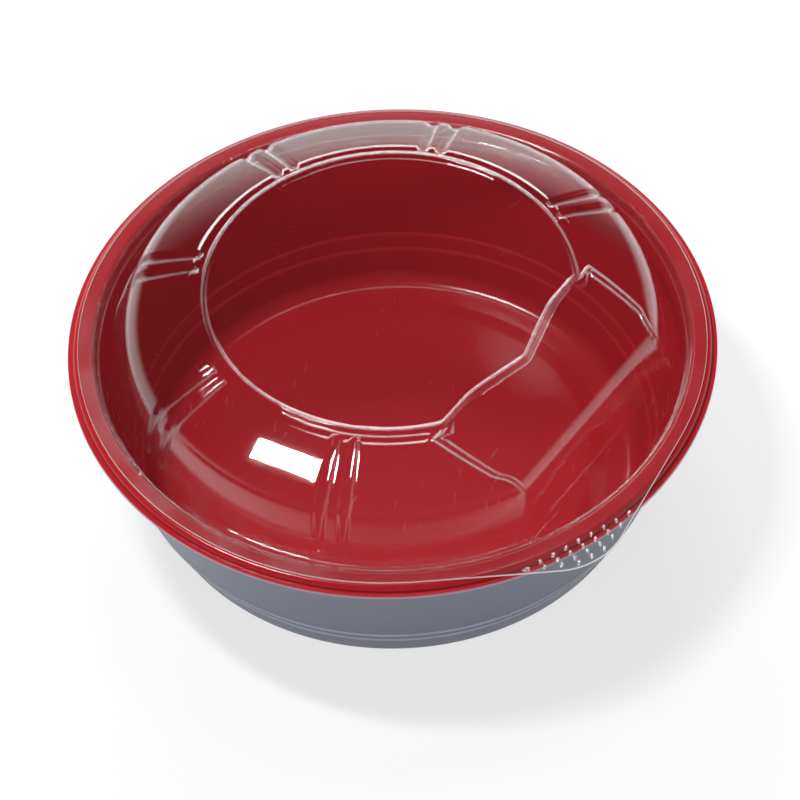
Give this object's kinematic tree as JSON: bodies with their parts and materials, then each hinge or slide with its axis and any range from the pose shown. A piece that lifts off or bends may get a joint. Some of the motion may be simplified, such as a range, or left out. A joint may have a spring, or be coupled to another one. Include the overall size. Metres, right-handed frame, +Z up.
{
  "type": "disposable lidded bowl",
  "caption": "Round takeaway bowl of two-colour plastic sheet with stacking ridges and a clear domed lid that presses into its mouth.",
  "frame": {"origin": "centre of the ring that the bowl rests on, in the plane of the table", "axes": "+Z up, along the lid's lift; +Y away from the picture's camera and +X to its right, so that the thumb tab points to the front right"},
  "size_m": [0.176, 0.176, 0.072],
  "materials": {
    "grey_plastic": "satin",
    "red_plastic": "glossy",
    "clear_plastic": "clear and glossy"
  },
  "bodies": {
    "bowl": {"bowl_outer_layer": "grey_plastic", "bowl_inner_layer": "red_plastic"},
    "lid": {"lid": "clear_plastic"}
  },
  "joints": [
    {"name": "lid_lift", "type": "slide", "parent": "bowl", "child": "lid", "axis": [0, 0, 1], "range_m": [0, 0.12]}
  ]
}
